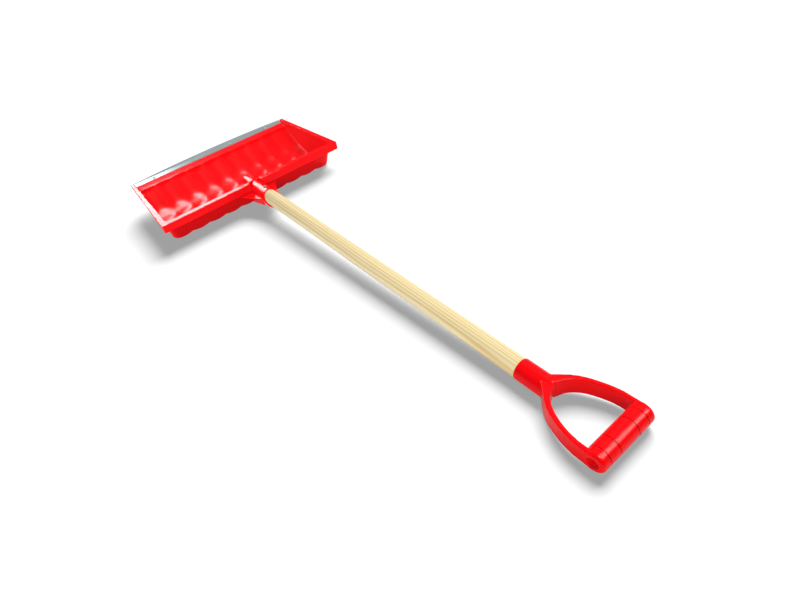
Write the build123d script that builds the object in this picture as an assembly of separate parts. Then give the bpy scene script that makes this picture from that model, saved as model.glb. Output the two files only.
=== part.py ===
from build123d import *
from math import asin, atan2, cos, degrees, radians, sin, sqrt
import os

# Snow shovel: a moulded scoop with a metal wear edge, a wooden shaft and a moulded D grip.
#
# The shovel lies face up on level ground, on the runners under its scoop and on the bar of its grip.
# +X is to the user's right, +Y runs from the grip towards the scoop, +Z is up, and z = 0 is the ground.
# The origin is on the ground, midway along the shovel. All sizes are millimetres.

# ---- the scoop's pan, in a side view whose y = 0 is the mouth of the socket ----
WALL = 3.0                  # thickness of the moulded plastic
PAN_HALF_WIDTH = 222.5      # inside, at the front edge, where rim and floor meet
PAN_FLARE = 0.118           # how far a side wall leans out, for each millimetre up
PAN_TOE = 0.053             # how far a side wall stands out, for each millimetre towards the back
BACK_WALL_FOOT_Y = 108.0    # inside foot of the back wall
BACK_WALL_LEAN = 0.37       # how far the back wall leans back, for each millimetre up
LEVEL_LENGTH = 106.0        # the level floor, from the back wall's foot to the foot of the slope
PAN_LENGTH = 226.0          # the whole floor in plan, from the back wall's foot to the front edge
FRONT_HEIGHT = 72.5         # height of the floor's top surface at the front edge
LIP_LENGTH = 29.5           # the plain lip in front of the channelled slope, along its surface
LIP_SLOPE = 17.8            # degrees between the lip and the ground
CORNER_RADIUS = 12.0        # inside radius where the back wall meets a side wall

# ---- the channels that stiffen the floor, which are runners underneath ----
CHANNEL_COUNT = 10
CHANNEL_PITCH = 45.5
CHANNEL_DEPTH = 4.3
RUNNER_LAND = 0.3           # what is worn flat off each runner's round underside

# ---- the rim: a flat flange with a skirt that hangs from its outer edge ----
RIM_ABOVE_FRONT = 3.8       # the flange's top above the floor's, at the front edge
RIM_FALL = 11.3             # how much lower the flange is at the back than at the front
FLANGE_BACK = 13.2          # from a wall's inside to the rim's outer edge, at the back
FLANGE_FRONT = 9.0          # and at the front
SKIRT_BACK = 18.5           # height of the skirt at the back
SKIRT_FRONT = 9.0           # height of the skirt at the front

# ---- the tapered socket and the webs that hold it to the pan ----
AXIS_HEIGHT = 44.5          # height of the shaft's axis above the ground at the socket's mouth
SHAFT_D = 35.0
TAPER = 0.0577              # loss of radius of socket and shaft, for each millimetre of length
SOCKET_WALL = 3.4
SOCKET_DEPTH = 134.0        # how far the shaft goes in
SOCKET_NOSE_WALL = 6.0
SOCKET_FIT = 0.15           # clearance between shaft and socket, all round
MOUTH_TONGUE = 12.0         # how far the socket reaches under the shaft, past its mouth
MOUTH_SLANT = 32.0          # degrees between the mouth's cut and a square one
RIM_GAP_PLAY = 0.2          # between the socket and each end of the gap that it has in the rim
WEB_INSET = 2.0             # how far an upright web's outer face is inside the socket's widest part
WEB_BACK_Y = 20.0           # rear end of the upright webs
WING_HALF = 52.0            # how far out a wing meets the back wall
WING_BACK_Y = 12.0          # rear end of a wing

# ---- the metal wear edge and its rivets ----
EDGE_LEG = 10.0             # how far the edge's two legs reach over the plastic
EDGE_LEG_THICK = 1.2
EDGE_WEB = 2.5              # solid metal between the legs and the blade
EDGE_BLADE_THICK = 2.4
EDGE_REACH_END = 8.0        # how far the edge stands out in front, at its ends
EDGE_REACH_MID = 15.0       # and in the middle
EDGE_FIT = 0.1              # clearance between the legs and the plastic
EDGE_END_GAP = 1.0          # clearance between the edge and a side wall
RIVET_COUNT = 4
RIVET_PITCH = 114.0
RIVET_D = 4.0
RIVET_HEAD_D = 7.0
RIVET_HEAD_T = 0.9

# ---- the shaft's bare length, and the D grip ----
SHAFT_BARE = 773.0          # between the mouths of the scoop's socket and the grip's
TENON_STEP = 2.0            # what is turned off the shaft all round, inside the grip
TENON_LENGTH = 42.0
GRIP_FIT = 0.15
GRIP_SOCKET_PROUD = 1.2     # how far the grip's socket stands out from the shaft, all round
GRIP_BAR_BACK = 171.0       # from the grip's mouth to the bar's axis
GRIP_BAR_D = 35.4
GRIP_HALF_WIDTH = 59.0
GRIP_ARM_THICK = 8.0
GRIP_ARM_HEIGHT = 30.0
GRIP_SHOULDER = 46.0        # from the grip's mouth to where its arms leave the socket
GRIP_CROTCH = 62.0          # from the grip's mouth to the front of the hand hole
GRIP_CORNER = 11.0          # radius of the grip's two outer back corners
GRIP_BOW_OUTSIDE = ((0.58, 0.21), (0.80, 0.40), (0.965, 0.68))  # parts of half width, at parts of length
GRIP_BOW_INSIDE = ((0.43, 0.10), (0.75, 0.31), (0.97, 0.63))
GRIP_EDGE_ROUND = 2.5
BAR_RECESS_D = 18.0         # round moulding recess in each end of the bar
BAR_RECESS_DEPTH = 14.0
BAR_GROOVE_X = (20.5, 42.5)
BAR_GROOVE_WIDTH = 0.9
BAR_GROOVE_DEPTH = 0.6

# ---- the two screws that fix the shaft ----
SCREW_D = 4.5
SCREW_HEAD_D = 9.0
SCREW_HEAD_T = 2.4
SCREW_FIT = 0.1
SCREW_SEAT = 0.8            # depth of the flat seat under a screw's head
SCREW_SEAT_D = 10.5
SCOOP_SCREW_Y = 30.0        # from the socket's mouth
SCOOP_SCREW_LENGTH = 26.0
GRIP_SCREW_Y = 22.0         # from the grip's mouth
GRIP_SCREW_LENGTH = 22.0

# ---- worked out from the sizes above ----
FAR = 400.0                                     # longer than any cut needs
FLOOR_TOP = WALL + CHANNEL_DEPTH - RUNNER_LAND  # top of the ridges between channels
SLOPE_FOOT_Y = BACK_WALL_FOOT_Y + LEVEL_LENGTH
FRONT_EDGE = (BACK_WALL_FOOT_Y + PAN_LENGTH, FRONT_HEIGHT)
LIP_BACK = (FRONT_EDGE[0] - LIP_LENGTH * cos(radians(LIP_SLOPE)),
            FRONT_EDGE[1] - LIP_LENGTH * sin(radians(LIP_SLOPE)))
SLOPE = degrees(atan2(LIP_BACK[1] - FLOOR_TOP, LIP_BACK[0] - SLOPE_FOOT_Y))
TILT = degrees(asin((AXIS_HEIGHT - GRIP_BAR_D / 2) / (SHAFT_BARE + GRIP_BAR_BACK)))
SHAFT_FRAME = Pos(0, 0, AXIS_HEIGHT) * Rot(TILT, 0, 0)
CHANNEL_RADIUS = (CHANNEL_PITCH**2 / 4 + CHANNEL_DEPTH**2) / (2 * CHANNEL_DEPTH)
SOCKET_R = SHAFT_D / 2 + SOCKET_FIT + SOCKET_WALL
WEB_HALF = SOCKET_R - WEB_INSET
TENON_D = SHAFT_D - 2 * TENON_STEP
GRIP_SOCKET_D = SHAFT_D + 2 * GRIP_SOCKET_PROUD
FRONT_END = FRONT_EDGE[0] + EDGE_REACH_MID * cos(radians(LIP_SLOPE))
BACK_END = -(SHAFT_BARE + GRIP_BAR_BACK) * cos(radians(TILT)) - GRIP_BAR_D / 2
TO_ORIGIN = Pos(0, -(FRONT_END + BACK_END) / 2, 0)


def side_slab(points, half=FAR):
    """A slab of a side view, given as (y, z) points, reaching the same way left and right."""
    return extrude(Plane.YZ * make_face(Polyline(*points, close=True)), half, both=True)


def back_wall_y(z, out=0.0):
    """Where the back wall's inside is at height z, or a surface that stands out behind it."""
    return BACK_WALL_FOOT_Y - BACK_WALL_LEAN * (z - FLOOR_TOP) - out * sqrt(1 + BACK_WALL_LEAN**2)


def side_wall_x(y, z, out=0.0):
    """Where a side wall's inside is at y and z, or a surface that stands out beside it."""
    lean = PAN_FLARE * (z - FRONT_EDGE[1]) - PAN_TOE * (y - FRONT_EDGE[0])
    return PAN_HALF_WIDTH + lean + out * sqrt(1 + PAN_FLARE**2 + PAN_TOE**2)


RIM_FRONT_Z = FRONT_HEIGHT + RIM_ABOVE_FRONT
RIM_BACK_Z = RIM_FRONT_Z - RIM_FALL
RIM_BACK = (back_wall_y(RIM_BACK_Z) - FLANGE_BACK, RIM_BACK_Z)
RIM_HALF_BACK = side_wall_x(*RIM_BACK) + FLANGE_BACK
RIM_HALF_FRONT = side_wall_x(FRONT_EDGE[0], RIM_FRONT_Z) + FLANGE_FRONT
RIM_SLOPE = (RIM_FRONT_Z - RIM_BACK_Z) / (FRONT_EDGE[0] - RIM_BACK[0])
RIM_GAP_HALF = SOCKET_R - TAPER * RIM_BACK[0] + RIM_GAP_PLAY


def rim_top(y):
    """Height of the rim's top surface at y."""
    return RIM_BACK[1] + RIM_SLOPE * (y - RIM_BACK[0])


def between_walls(out):
    """The space between the two side walls, whose planes stand out by the given distance."""
    def section(y):
        low, high = -20.0, 140.0
        corners = [(-side_wall_x(y, low, out), low), (side_wall_x(y, low, out), low),
                   (side_wall_x(y, high, out), high), (-side_wall_x(y, high, out), high)]
        return Plane((0, y, 0), x_dir=(1, 0, 0), z_dir=(0, -1, 0)) * make_face(Polyline(*corners, close=True))
    return loft([section(0.0), section(FAR)], ruled=True)


def along(start, angle, length, rise=0.0):
    """The side-view point at a distance along a line at an angle, and off it to its upper side."""
    a = radians(angle)
    return (start[0] + length * cos(a) - rise * sin(a), start[1] + length * sin(a) + rise * cos(a))


def floor_line(drop):
    """The floor from the back wall to the front edge, as side-view points, lowered square to itself."""
    foot = (SLOPE_FOOT_Y + drop * sin(radians(SLOPE / 2)) / cos(radians(SLOPE / 2)), FLOOR_TOP - drop)
    half_turn = radians(SLOPE - LIP_SLOPE) / 2
    mitre = radians(LIP_SLOPE) + half_turn
    lip = (LIP_BACK[0] + drop / cos(half_turn) * sin(mitre), LIP_BACK[1] - drop / cos(half_turn) * cos(mitre))
    front = along(FRONT_EDGE, LIP_SLOPE, 0, -drop)
    return [(back_wall_y(FLOOR_TOP - drop, drop), FLOOR_TOP - drop), foot, lip, front]


def channels(radius, drop, out):
    """The rounded undersides of the channels: along the level floor, then up the slope to the lip."""
    centres = [(i - (CHANNEL_COUNT - 1) / 2) * CHANNEL_PITCH for i in range(CHANNEL_COUNT)]
    height = CHANNEL_RADIUS - CHANNEL_DEPTH
    profile = Sketch() + [Pos(x, height) * Circle(radius) for x in centres]
    profile &= Pos(0, -drop / 2) * Rectangle(2 * FAR, drop)

    def run(foot, angle):
        a = radians(angle)
        plane = Plane((0, *along(foot, angle, -FAR / 2)), x_dir=(1, 0, 0), z_dir=(0, cos(a), sin(a)))
        return extrude(plane * Rot(0, 0, 180) * profile, FAR)

    foot = (SLOPE_FOOT_Y, FLOOR_TOP)
    mitre_low = (foot[0] + drop * sin(radians(SLOPE / 2)) / cos(radians(SLOPE / 2)), foot[1] - drop)
    lip_low = along(LIP_BACK, SLOPE, 0, -drop)
    level = side_slab([(back_wall_y(FLOOR_TOP, out), FLOOR_TOP), foot, mitre_low,
                       (back_wall_y(FLOOR_TOP - drop, out), FLOOR_TOP - drop)])
    slope = side_slab([foot, LIP_BACK, lip_low, mitre_low])
    return (run(foot, 0) & level) + (run(foot, SLOPE) & slope)


def pan_block(drop, out, top):
    """The pan's outside or inside as one solid block, up to a height above the rim's top."""
    line = floor_line(drop)
    front = (FRONT_EDGE[0], rim_top(FRONT_EDGE[0]) + top)
    back_z = RIM_BACK[1] + top
    corners = [*line, FRONT_EDGE, front, (back_wall_y(back_z, out), back_z)]
    block = side_slab(list(dict.fromkeys(corners))) & between_walls(out)
    corners = block.edges().filter_by(lambda e: abs(e.tangent_at(0.5).Z) > 0.8).sort_by(Axis.Y)[:2]
    return fillet(corners, CORNER_RADIUS + out)


def make_pan():
    """The open pan: floor with its channels, back wall and two side walls."""
    outside = pan_block(WALL, WALL, 0.0) + (channels(CHANNEL_RADIUS + WALL, FLOOR_TOP, WALL) & between_walls(WALL))
    inside = pan_block(0.0, 0.0, 30.0) + (channels(CHANNEL_RADIUS, FLOOR_TOP - WALL, 0.0) & between_walls(0.0))
    return outside, inside


def rim_plan(inset):
    """The rim's outer outline in plan, as an upright prism, moved in by a distance."""
    corners = [(-RIM_HALF_BACK + inset, RIM_BACK[0] + inset), (RIM_HALF_BACK - inset, RIM_BACK[0] + inset),
               (RIM_HALF_FRONT - inset, FRONT_EDGE[0]), (-RIM_HALF_FRONT + inset, FRONT_EDGE[0])]
    return extrude(make_face(Polyline(*corners, close=True)), FAR)


def make_rim():
    """The flange round three sides of the pan, with its skirt, as a hollow channel open below."""
    y0, y1 = RIM_BACK[0] - 1, FRONT_EDGE[0] + 1
    top0, top1 = rim_top(y0), rim_top(y1)
    band = side_slab([(y0, top0), (y1, top1), (y1, top1 - SKIRT_FRONT), (y0, top0 - SKIRT_BACK)])
    below = side_slab([(y0, top0 - WALL), (y1, top1 - WALL), (y1, 0), (y0, 0)])
    return (rim_plan(0.0) & band) - (rim_plan(WALL) & below)


def cone(y_start, y_end, grow):
    """A taper about the shaft's axis that follows the shaft's own taper, larger by a distance."""
    def radius(y):
        return SHAFT_D / 2 + grow - TAPER * y
    length = y_end - y_start
    body = Cone(radius(y_start), radius(y_end), length, align=(Align.CENTER, Align.CENTER, Align.MIN))
    return SHAFT_FRAME * Pos(0, y_start, 0) * Rot(-90, 0, 0) * body


def make_socket():
    """The tapered socket's outside, its mouth cut back on top, with a rounded nose inside the pan."""
    grow = SOCKET_FIT + SOCKET_WALL
    end = SOCKET_DEPTH + SOCKET_NOSE_WALL
    body = cone(-MOUTH_TONGUE, end, grow)
    nose_edge = body.edges().sort_by(Axis.Y)[-1]
    body = fillet(nose_edge, SOCKET_NOSE_WALL)
    low = SOCKET_R + TAPER * MOUTH_TONGUE
    cut = Pos(0, -MOUTH_TONGUE, -low) * Rot(-MOUTH_SLANT, 0, 0) * Box(
        FAR, FAR, FAR, align=(Align.CENTER, Align.MAX, Align.CENTER))
    return body - SHAFT_FRAME * cut


def make_webs():
    """Two upright webs and two flat wings that tie the socket to the back wall, and a keel inside."""
    y0 = WEB_BACK_Y
    wall_foot = (back_wall_y(FLOOR_TOP, WALL), FLOOR_TOP)
    wall_top = (back_wall_y(AXIS_HEIGHT, WALL), AXIS_HEIGHT)
    side = [(y0, AXIS_HEIGHT), (wall_top[0] + 1, wall_top[1]), (wall_foot[0] + 1, wall_foot[1]),
            (y0, AXIS_HEIGHT - WEB_HALF)]
    upright = Pos(WEB_HALF - WALL / 2, 0, 0) * side_slab(side, WALL / 2)
    wing_front = back_wall_y(AXIS_HEIGHT, WALL) + 1
    wing = make_face(Polyline((0, WING_BACK_Y), (WEB_HALF, WING_BACK_Y), (WING_HALF, wing_front - 8),
                              (WING_HALF, wing_front), (0, wing_front), close=True))
    wing = Pos(0, 0, AXIS_HEIGHT - WALL) * extrude(wing, WALL)
    keel_back = back_wall_y(AXIS_HEIGHT) - 1
    keel = side_slab([(keel_back, FLOOR_TOP - CHANNEL_DEPTH / 2), (SOCKET_DEPTH, FLOOR_TOP - CHANNEL_DEPTH / 2),
                      (SOCKET_DEPTH, AXIS_HEIGHT), (keel_back, AXIS_HEIGHT)], WALL)
    return upright + mirror(upright, Plane.YZ) + wing + mirror(wing, Plane.YZ) + keel


def screw_hole(y, diameter, length, frame):
    """A screw's hole, square to the shaft, from its tip to a flat seat under its head and on through it."""
    hole = Cylinder(diameter / 2, length, align=(Align.CENTER, Align.CENTER, Align.MIN))
    seat = Cylinder(SCREW_SEAT_D / 2, SHAFT_D, align=(Align.CENTER, Align.CENTER, Align.MIN))
    return frame * Pos(0, y, 0) * (hole + Pos(0, 0, length) * seat)


def rivet_places():
    """Where the rivets go through the plastic's lip: on the lip's surface, square to it."""
    y, z = along(FRONT_EDGE, LIP_SLOPE, -EDGE_LEG / 2)
    for i in range(RIVET_COUNT):
        yield Pos((i - (RIVET_COUNT - 1) / 2) * RIVET_PITCH, y, z) * Rot(LIP_SLOPE, 0, 0)


def make_scoop():
    """The whole moulding: pan, rim, socket and webs."""
    outside, inside = make_pan()
    rim_gap = Pos(0, RIM_BACK[0], RIM_BACK[1]) * Box(2 * RIM_GAP_HALF, 60, 12)
    shell = (outside + make_rim()) - inside - rim_gap
    shell = shell + make_socket() + make_webs()
    shell = shell - cone(-2 * MOUTH_TONGUE, SOCKET_DEPTH, SOCKET_FIT) - bore_run()
    shell = shell - screw_hole(SCOOP_SCREW_Y, SCREW_D + 2 * SCREW_FIT, SCOOP_SCREW_LENGTH, scoop_screw_frame())
    for place in rivet_places():
        shell -= place * Cylinder(RIVET_D / 2, 6 * WALL)
    return shell


def bore_run():
    """The plain round run of the shaft behind the taper, with clearance."""
    run = Cylinder(SHAFT_D / 2 + SOCKET_FIT, SHAFT_BARE, align=(Align.CENTER, Align.CENTER, Align.MIN))
    return SHAFT_FRAME * Rot(90, 0, 0) * run


def make_wear_edge():
    """A metal edge with two legs that grip the plastic's lip, and a blade with a bowed front."""
    half = side_wall_x(*FRONT_EDGE) - EDGE_END_GAP
    top = EDGE_LEG_THICK + EDGE_FIT
    low = -WALL - EDGE_FIT - EDGE_LEG_THICK
    outline = Polyline((-half, EDGE_REACH_END), (-half, -EDGE_LEG), (half, -EDGE_LEG), (half, EDGE_REACH_END))
    bow = ThreePointArc((-half, EDGE_REACH_END), (0, EDGE_REACH_MID), (half, EDGE_REACH_END))
    block = Pos(0, 0, low) * extrude(make_face(outline + bow), top - low)
    slot = Box(FAR * 2, EDGE_LEG * 2, WALL + 2 * EDGE_FIT, align=(Align.CENTER, Align.CENTER, Align.MAX))
    block -= Pos(0, -EDGE_LEG + EDGE_FIT, EDGE_FIT) * slot
    blade_top = -WALL / 2 + EDGE_BLADE_THICK / 2
    beyond = Box(FAR * 2, FAR, FAR, align=(Align.CENTER, Align.MIN, Align.MIN))
    under = Box(FAR * 2, FAR, FAR, align=(Align.CENTER, Align.MIN, Align.MAX))
    block -= Pos(0, EDGE_WEB, blade_top) * beyond
    block -= Pos(0, EDGE_WEB, blade_top - EDGE_BLADE_THICK) * under
    placed = Pos(0, *FRONT_EDGE) * Rot(LIP_SLOPE, 0, 0) * block
    for place in rivet_places():
        placed -= place * Cylinder(RIVET_D / 2, 6 * WALL)
    return placed


def make_rivets():
    """Rivets through both legs of the wear edge, with a flat head above and below."""
    top = EDGE_LEG_THICK + EDGE_FIT
    low = -WALL - EDGE_FIT - EDGE_LEG_THICK
    shank = Pos(0, 0, low) * Cylinder(RIVET_D / 2, top - low, align=(Align.CENTER, Align.CENTER, Align.MIN))
    head = Cylinder(RIVET_HEAD_D / 2, RIVET_HEAD_T, align=(Align.CENTER, Align.CENTER, Align.MIN))
    head = fillet(head.edges().sort_by(Axis.Z)[-1], RIVET_HEAD_T * 0.6)
    rivet = shank + Pos(0, 0, top) * head + Pos(0, 0, low) * Rot(180, 0, 0) * head
    return Compound([place * rivet for place in rivet_places()])


def make_shaft():
    """The wooden shaft: tapered into the scoop's socket, and turned down to a tenon in the grip."""
    tip = SOCKET_DEPTH - 2.0
    taper = cone(0.0, tip, 0.0)
    taper = fillet(taper.edges().sort_by(Axis.Y)[-1], 2.0)
    run = Cylinder(SHAFT_D / 2, SHAFT_BARE, align=(Align.CENTER, Align.CENTER, Align.MIN))
    tenon = Cylinder(TENON_D / 2, SHAFT_BARE + TENON_LENGTH, align=(Align.CENTER, Align.CENTER, Align.MIN))
    body = taper + SHAFT_FRAME * Rot(90, 0, 0) * (run + tenon)
    body -= screw_hole(SCOOP_SCREW_Y, SCREW_D, SCOOP_SCREW_LENGTH, scoop_screw_frame())
    return body - screw_hole(-GRIP_SCREW_Y, SCREW_D, GRIP_SCREW_LENGTH, grip_screw_frame())


def scoop_screw_frame():
    """The shaft's frame raised so that z = 0 is the tip of the scoop's screw."""
    return SHAFT_FRAME * Pos(0, 0, SOCKET_R - TAPER * SCOOP_SCREW_Y - SCREW_SEAT - SCOOP_SCREW_LENGTH)


def grip_screw_frame():
    """The same for the grip's screw, which stands upside down under the grip's socket."""
    tip = GRIP_SOCKET_D / 2 - SCREW_SEAT - GRIP_SCREW_LENGTH
    return SHAFT_FRAME * Pos(0, -SHAFT_BARE, 0) * Rot(0, 180, 0) * Pos(0, 0, tip)


def make_screw(y, length, frame):
    """A round-headed screw, its point down at the frame's z = 0."""
    point = Cone(SCREW_D / 8, SCREW_D / 2, SCREW_D, align=(Align.CENTER, Align.CENTER, Align.MIN))
    shank = Cylinder(SCREW_D / 2, length - SCREW_D, align=(Align.CENTER, Align.CENTER, Align.MIN))
    head = Cylinder(SCREW_HEAD_D / 2, SCREW_HEAD_T, align=(Align.CENTER, Align.CENTER, Align.MIN))
    head = fillet(head.edges().sort_by(Axis.Z)[-1], SCREW_HEAD_T * 0.7)
    arms = Box(SCREW_HEAD_D * 0.6, 1.2, 3.0) + Box(1.2, SCREW_HEAD_D * 0.6, 3.0)
    head -= Pos(0, 0, SCREW_HEAD_T + 0.2) * arms
    return frame * Pos(0, y, 0) * (point + Pos(0, 0, SCREW_D) * shank + Pos(0, 0, length) * head)


def grip_face(front, half_front, half_width, back, shape, splay):
    """The D in plan as a face: a bow from the shaft's side out to the bar, and straight across the back."""
    reach = front + GRIP_BAR_BACK
    through = [(half_width * across, front - reach * down) for across, down in shape]
    bow = Spline((half_front, front), *through, (half_width, -GRIP_BAR_BACK), tangents=[(1, -splay), (0, -1)])
    tail = Polyline((half_width, -GRIP_BAR_BACK), (half_width, back), (0, back), (0, front), (half_front, front))
    half = make_face(bow + tail)
    return half + mirror(half, Plane.YZ)


def make_grip():
    """The moulded D grip: socket, two arms and a round bar across the back."""
    back = -GRIP_BAR_BACK - GRIP_BAR_D / 2
    outside = grip_face(-GRIP_SHOULDER, GRIP_SOCKET_D / 4, GRIP_HALF_WIDTH, back, GRIP_BOW_OUTSIDE, 1.1)
    outside = fillet(outside.vertices().sort_by(Axis.Y)[:2], GRIP_CORNER)
    inner_half = GRIP_HALF_WIDTH - GRIP_ARM_THICK
    hand_hole = grip_face(-GRIP_CROTCH, 1.0, inner_half, -GRIP_BAR_BACK - 1, GRIP_BOW_INSIDE, 0.1)
    bar_axis = Pos(0, -GRIP_BAR_BACK, 0) * Rot(0, 90, 0)
    arms = Pos(0, -GRIP_BAR_BACK, 0) * Box(FAR, GRIP_BAR_BACK, GRIP_ARM_HEIGHT, align=(
        Align.CENTER, Align.MIN, Align.CENTER))
    frame_block = extrude(outside, GRIP_BAR_D, both=True) & (arms + bar_axis * Cylinder(GRIP_BAR_D / 2, FAR))
    frame_block -= extrude(hand_hole, GRIP_BAR_D, both=True)
    bar_half = GRIP_HALF_WIDTH - 1.0
    bar = fillet(Cylinder(GRIP_BAR_D / 2, 2 * bar_half).edges().filter_by(GeomType.CIRCLE), GRIP_EDGE_ROUND)
    socket = Rot(90, 0, 0) * Cylinder(
        GRIP_SOCKET_D / 2, GRIP_CROTCH - 1, align=(Align.CENTER, Align.CENTER, Align.MIN))
    body = frame_block + bar_axis * bar + socket
    bore = Rot(90, 0, 0) * Cylinder(TENON_D / 2 + GRIP_FIT, TENON_LENGTH + 1,
                                    align=(Align.CENTER, Align.CENTER, Align.MIN))
    body -= bore
    for side in (-1, 1):
        body -= bar_axis * Pos(0, 0, side * (bar_half - BAR_RECESS_DEPTH / 2 + 1)) * Cylinder(
            BAR_RECESS_D / 2, BAR_RECESS_DEPTH + 2)
        for x in BAR_GROOVE_X:
            ring = Cylinder(GRIP_BAR_D, BAR_GROOVE_WIDTH) - Cylinder(
                GRIP_BAR_D / 2 - BAR_GROOVE_DEPTH, BAR_GROOVE_WIDTH)
            body -= bar_axis * Pos(0, 0, side * x) * ring
    placed = SHAFT_FRAME * Pos(0, -SHAFT_BARE, 0) * body
    return placed - screw_hole(-GRIP_SCREW_Y, SCREW_D + 2 * SCREW_FIT, GRIP_SCREW_LENGTH, grip_screw_frame())


def main():
    os.makedirs("parts", exist_ok=True)
    pieces = {
        "scoop": make_scoop(),
        "wear_edge": make_wear_edge(),
        "edge_rivets": make_rivets(),
        "shaft": make_shaft(),
        "scoop_screw": make_screw(SCOOP_SCREW_Y, SCOOP_SCREW_LENGTH, scoop_screw_frame()),
        "grip": make_grip(),
        "grip_screw": make_screw(-GRIP_SCREW_Y, GRIP_SCREW_LENGTH, grip_screw_frame()),
    }
    for name, piece in pieces.items():
        export_step(TO_ORIGIN * piece, f"parts/{name}.step")
        box = (TO_ORIGIN * piece).bounding_box()
        print(f"{name}: {piece.volume / 1000:.1f} cm3, {box.size.X:.1f} x {box.size.Y:.1f} x {box.size.Z:.1f} mm")


main()
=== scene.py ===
# %% [markdown]
# # A snow shovel: moulded scoop, metal edge, wooden shaft and D grip
# The shovel lies face up on a white floor. Every cell below adds one piece, finish or light.
# First the imported model is loaded. It is the frame that the visible pieces follow, and the place
# of the socket's mouth is read from the scoop's box instead of being placed by eye.

# %% Load the frame
import bpy
import bmesh
from math import asin, atan2, cos, exp, pi, radians, sin, sqrt, tan
from mathutils import Matrix, Vector, noise


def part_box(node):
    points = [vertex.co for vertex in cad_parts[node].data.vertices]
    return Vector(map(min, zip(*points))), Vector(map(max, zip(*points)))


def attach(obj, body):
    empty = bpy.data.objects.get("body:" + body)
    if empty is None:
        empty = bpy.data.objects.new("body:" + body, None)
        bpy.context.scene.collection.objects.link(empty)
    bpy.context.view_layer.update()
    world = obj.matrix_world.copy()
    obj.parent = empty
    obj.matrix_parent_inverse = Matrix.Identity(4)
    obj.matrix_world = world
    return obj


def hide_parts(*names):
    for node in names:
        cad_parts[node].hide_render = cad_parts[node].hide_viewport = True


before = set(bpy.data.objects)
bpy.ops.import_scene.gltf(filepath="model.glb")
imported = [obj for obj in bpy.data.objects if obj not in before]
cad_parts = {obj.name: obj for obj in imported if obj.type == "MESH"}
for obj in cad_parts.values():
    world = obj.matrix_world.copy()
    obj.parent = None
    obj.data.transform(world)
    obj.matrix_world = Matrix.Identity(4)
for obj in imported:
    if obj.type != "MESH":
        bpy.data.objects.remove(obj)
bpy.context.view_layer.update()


# %% [markdown]
# ## Where the pieces sit
# Millimetres suit a shovel better than metres, and a side view that starts at the mouth of the
# socket suits the scoop. One small helper turns such a point into the scene's metres.
# The scoop's packed box ends at the front of its lip, which fixes where the mouth is.

# %% Places in millimetres from the socket's mouth
WALL = 3.0
FRONT_Y, FRONT_Z = 334.0, 72.5       # the front edge of the scoop's lip
LIP_SLOPE = radians(17.8)
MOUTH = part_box("scoop")[1][1] - (FRONT_Y + WALL * sin(LIP_SLOPE)) / 1000


def at(x, y, z):
    """A point in millimetres of the scoop's side view, as metres of the scene."""
    return Vector((x / 1000, MOUTH + y / 1000, z / 1000))


SHAFT_D = 35.0       # thickness of the wooden bar
BARE = 773.0         # length of the shaft between its two sockets
BAR_BACK = 171.0     # from the grip's mouth to the middle of its bar
BAR_D = 35.4         # thickness of the grip's bar
AXIS_Z = 44.5        # height of the shaft's axis at the mouth of the scoop's socket
TILT = asin((AXIS_Z - BAR_D / 2) / (BARE + BAR_BACK))
SHAFT_FRAME = Matrix.Translation(at(0, 0, AXIS_Z)) @ Matrix.Rotation(TILT, 4, "X")
print("mouth of the socket at y =", round(MOUTH, 4), "m")
print("the shaft climbs", round(TILT * 180 / pi, 2), "degrees")

# %% [markdown]
# ## The camera
# A product picture of a long tool is taken from above and behind the grip with a wide lens, so
# that the tool runs across the picture from corner to corner.

# %% Camera
LENS, SENSOR = 24.62, 36
EYE = (-426.85, -1148.18, 677.70)
TILT_UP, ROLL, PAN = radians(48.6528), radians(8.7218), radians(-39.8495)
camera_data = bpy.data.cameras.new("Camera")
camera_data.lens = LENS
camera_data.sensor_width = SENSOR
camera = bpy.data.objects.new("Camera", camera_data)
bpy.context.scene.collection.objects.link(camera)
camera.matrix_world = (Matrix.Translation(at(*EYE)) @ Matrix.Rotation(PAN, 4, "Z")
                       @ Matrix.Rotation(ROLL, 4, "Y") @ Matrix.Rotation(TILT_UP, 4, "X"))
bpy.context.scene.camera = camera
print("camera at", [round(v, 3) for v in camera.matrix_world.translation])

# %% [markdown]
# ## Floor
# The floor is a sweep of matt white paper. It has to come out white, with a soft grey shadow close
# to the shovel. Real paper has a faint mottle, so two whites are mixed by a wide noise.

# %% Floor
PAPER_WHITES = (0.90, 0.94)
FLOOR_HALF = 9.0


def new_object(name, mesh):
    """Put a mesh into the scene as an object."""
    piece = bpy.data.objects.new(name, mesh)
    bpy.context.scene.collection.objects.link(piece)
    return piece


def paper():
    """Matt white paper with a faint mottle."""
    material = bpy.data.materials.new("white_paper")
    material.use_nodes = True
    nodes, links = material.node_tree.nodes, material.node_tree.links
    shader = nodes["Principled BSDF"]
    shader.inputs["Roughness"].default_value = 0.9
    shader.inputs["Specular IOR Level"].default_value = 0.1
    mottle = nodes.new("ShaderNodeTexNoise")
    mottle.inputs["Scale"].default_value = 3.0
    whites = nodes.new("ShaderNodeValToRGB")
    for element, white in zip(whites.color_ramp.elements, PAPER_WHITES):
        element.color = (white, white, white, 1)
    links.new(mottle.outputs["Fac"], whites.inputs["Fac"])
    links.new(whites.outputs["Color"], shader.inputs["Base Color"])
    return material


floor_mesh = bpy.data.meshes.new("studio_floor")
floor_corners = [(-FLOOR_HALF, -FLOOR_HALF, 0), (FLOOR_HALF, -FLOOR_HALF, 0),
                 (FLOOR_HALF, FLOOR_HALF, 0), (-FLOOR_HALF, FLOOR_HALF, 0)]
floor_mesh.from_pydata(floor_corners, [], [(0, 1, 2, 3)])
floor = new_object("studio_floor", floor_mesh)
floor.data.materials.append(paper())
print("floor", 2 * FLOOR_HALF, "m square")


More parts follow.
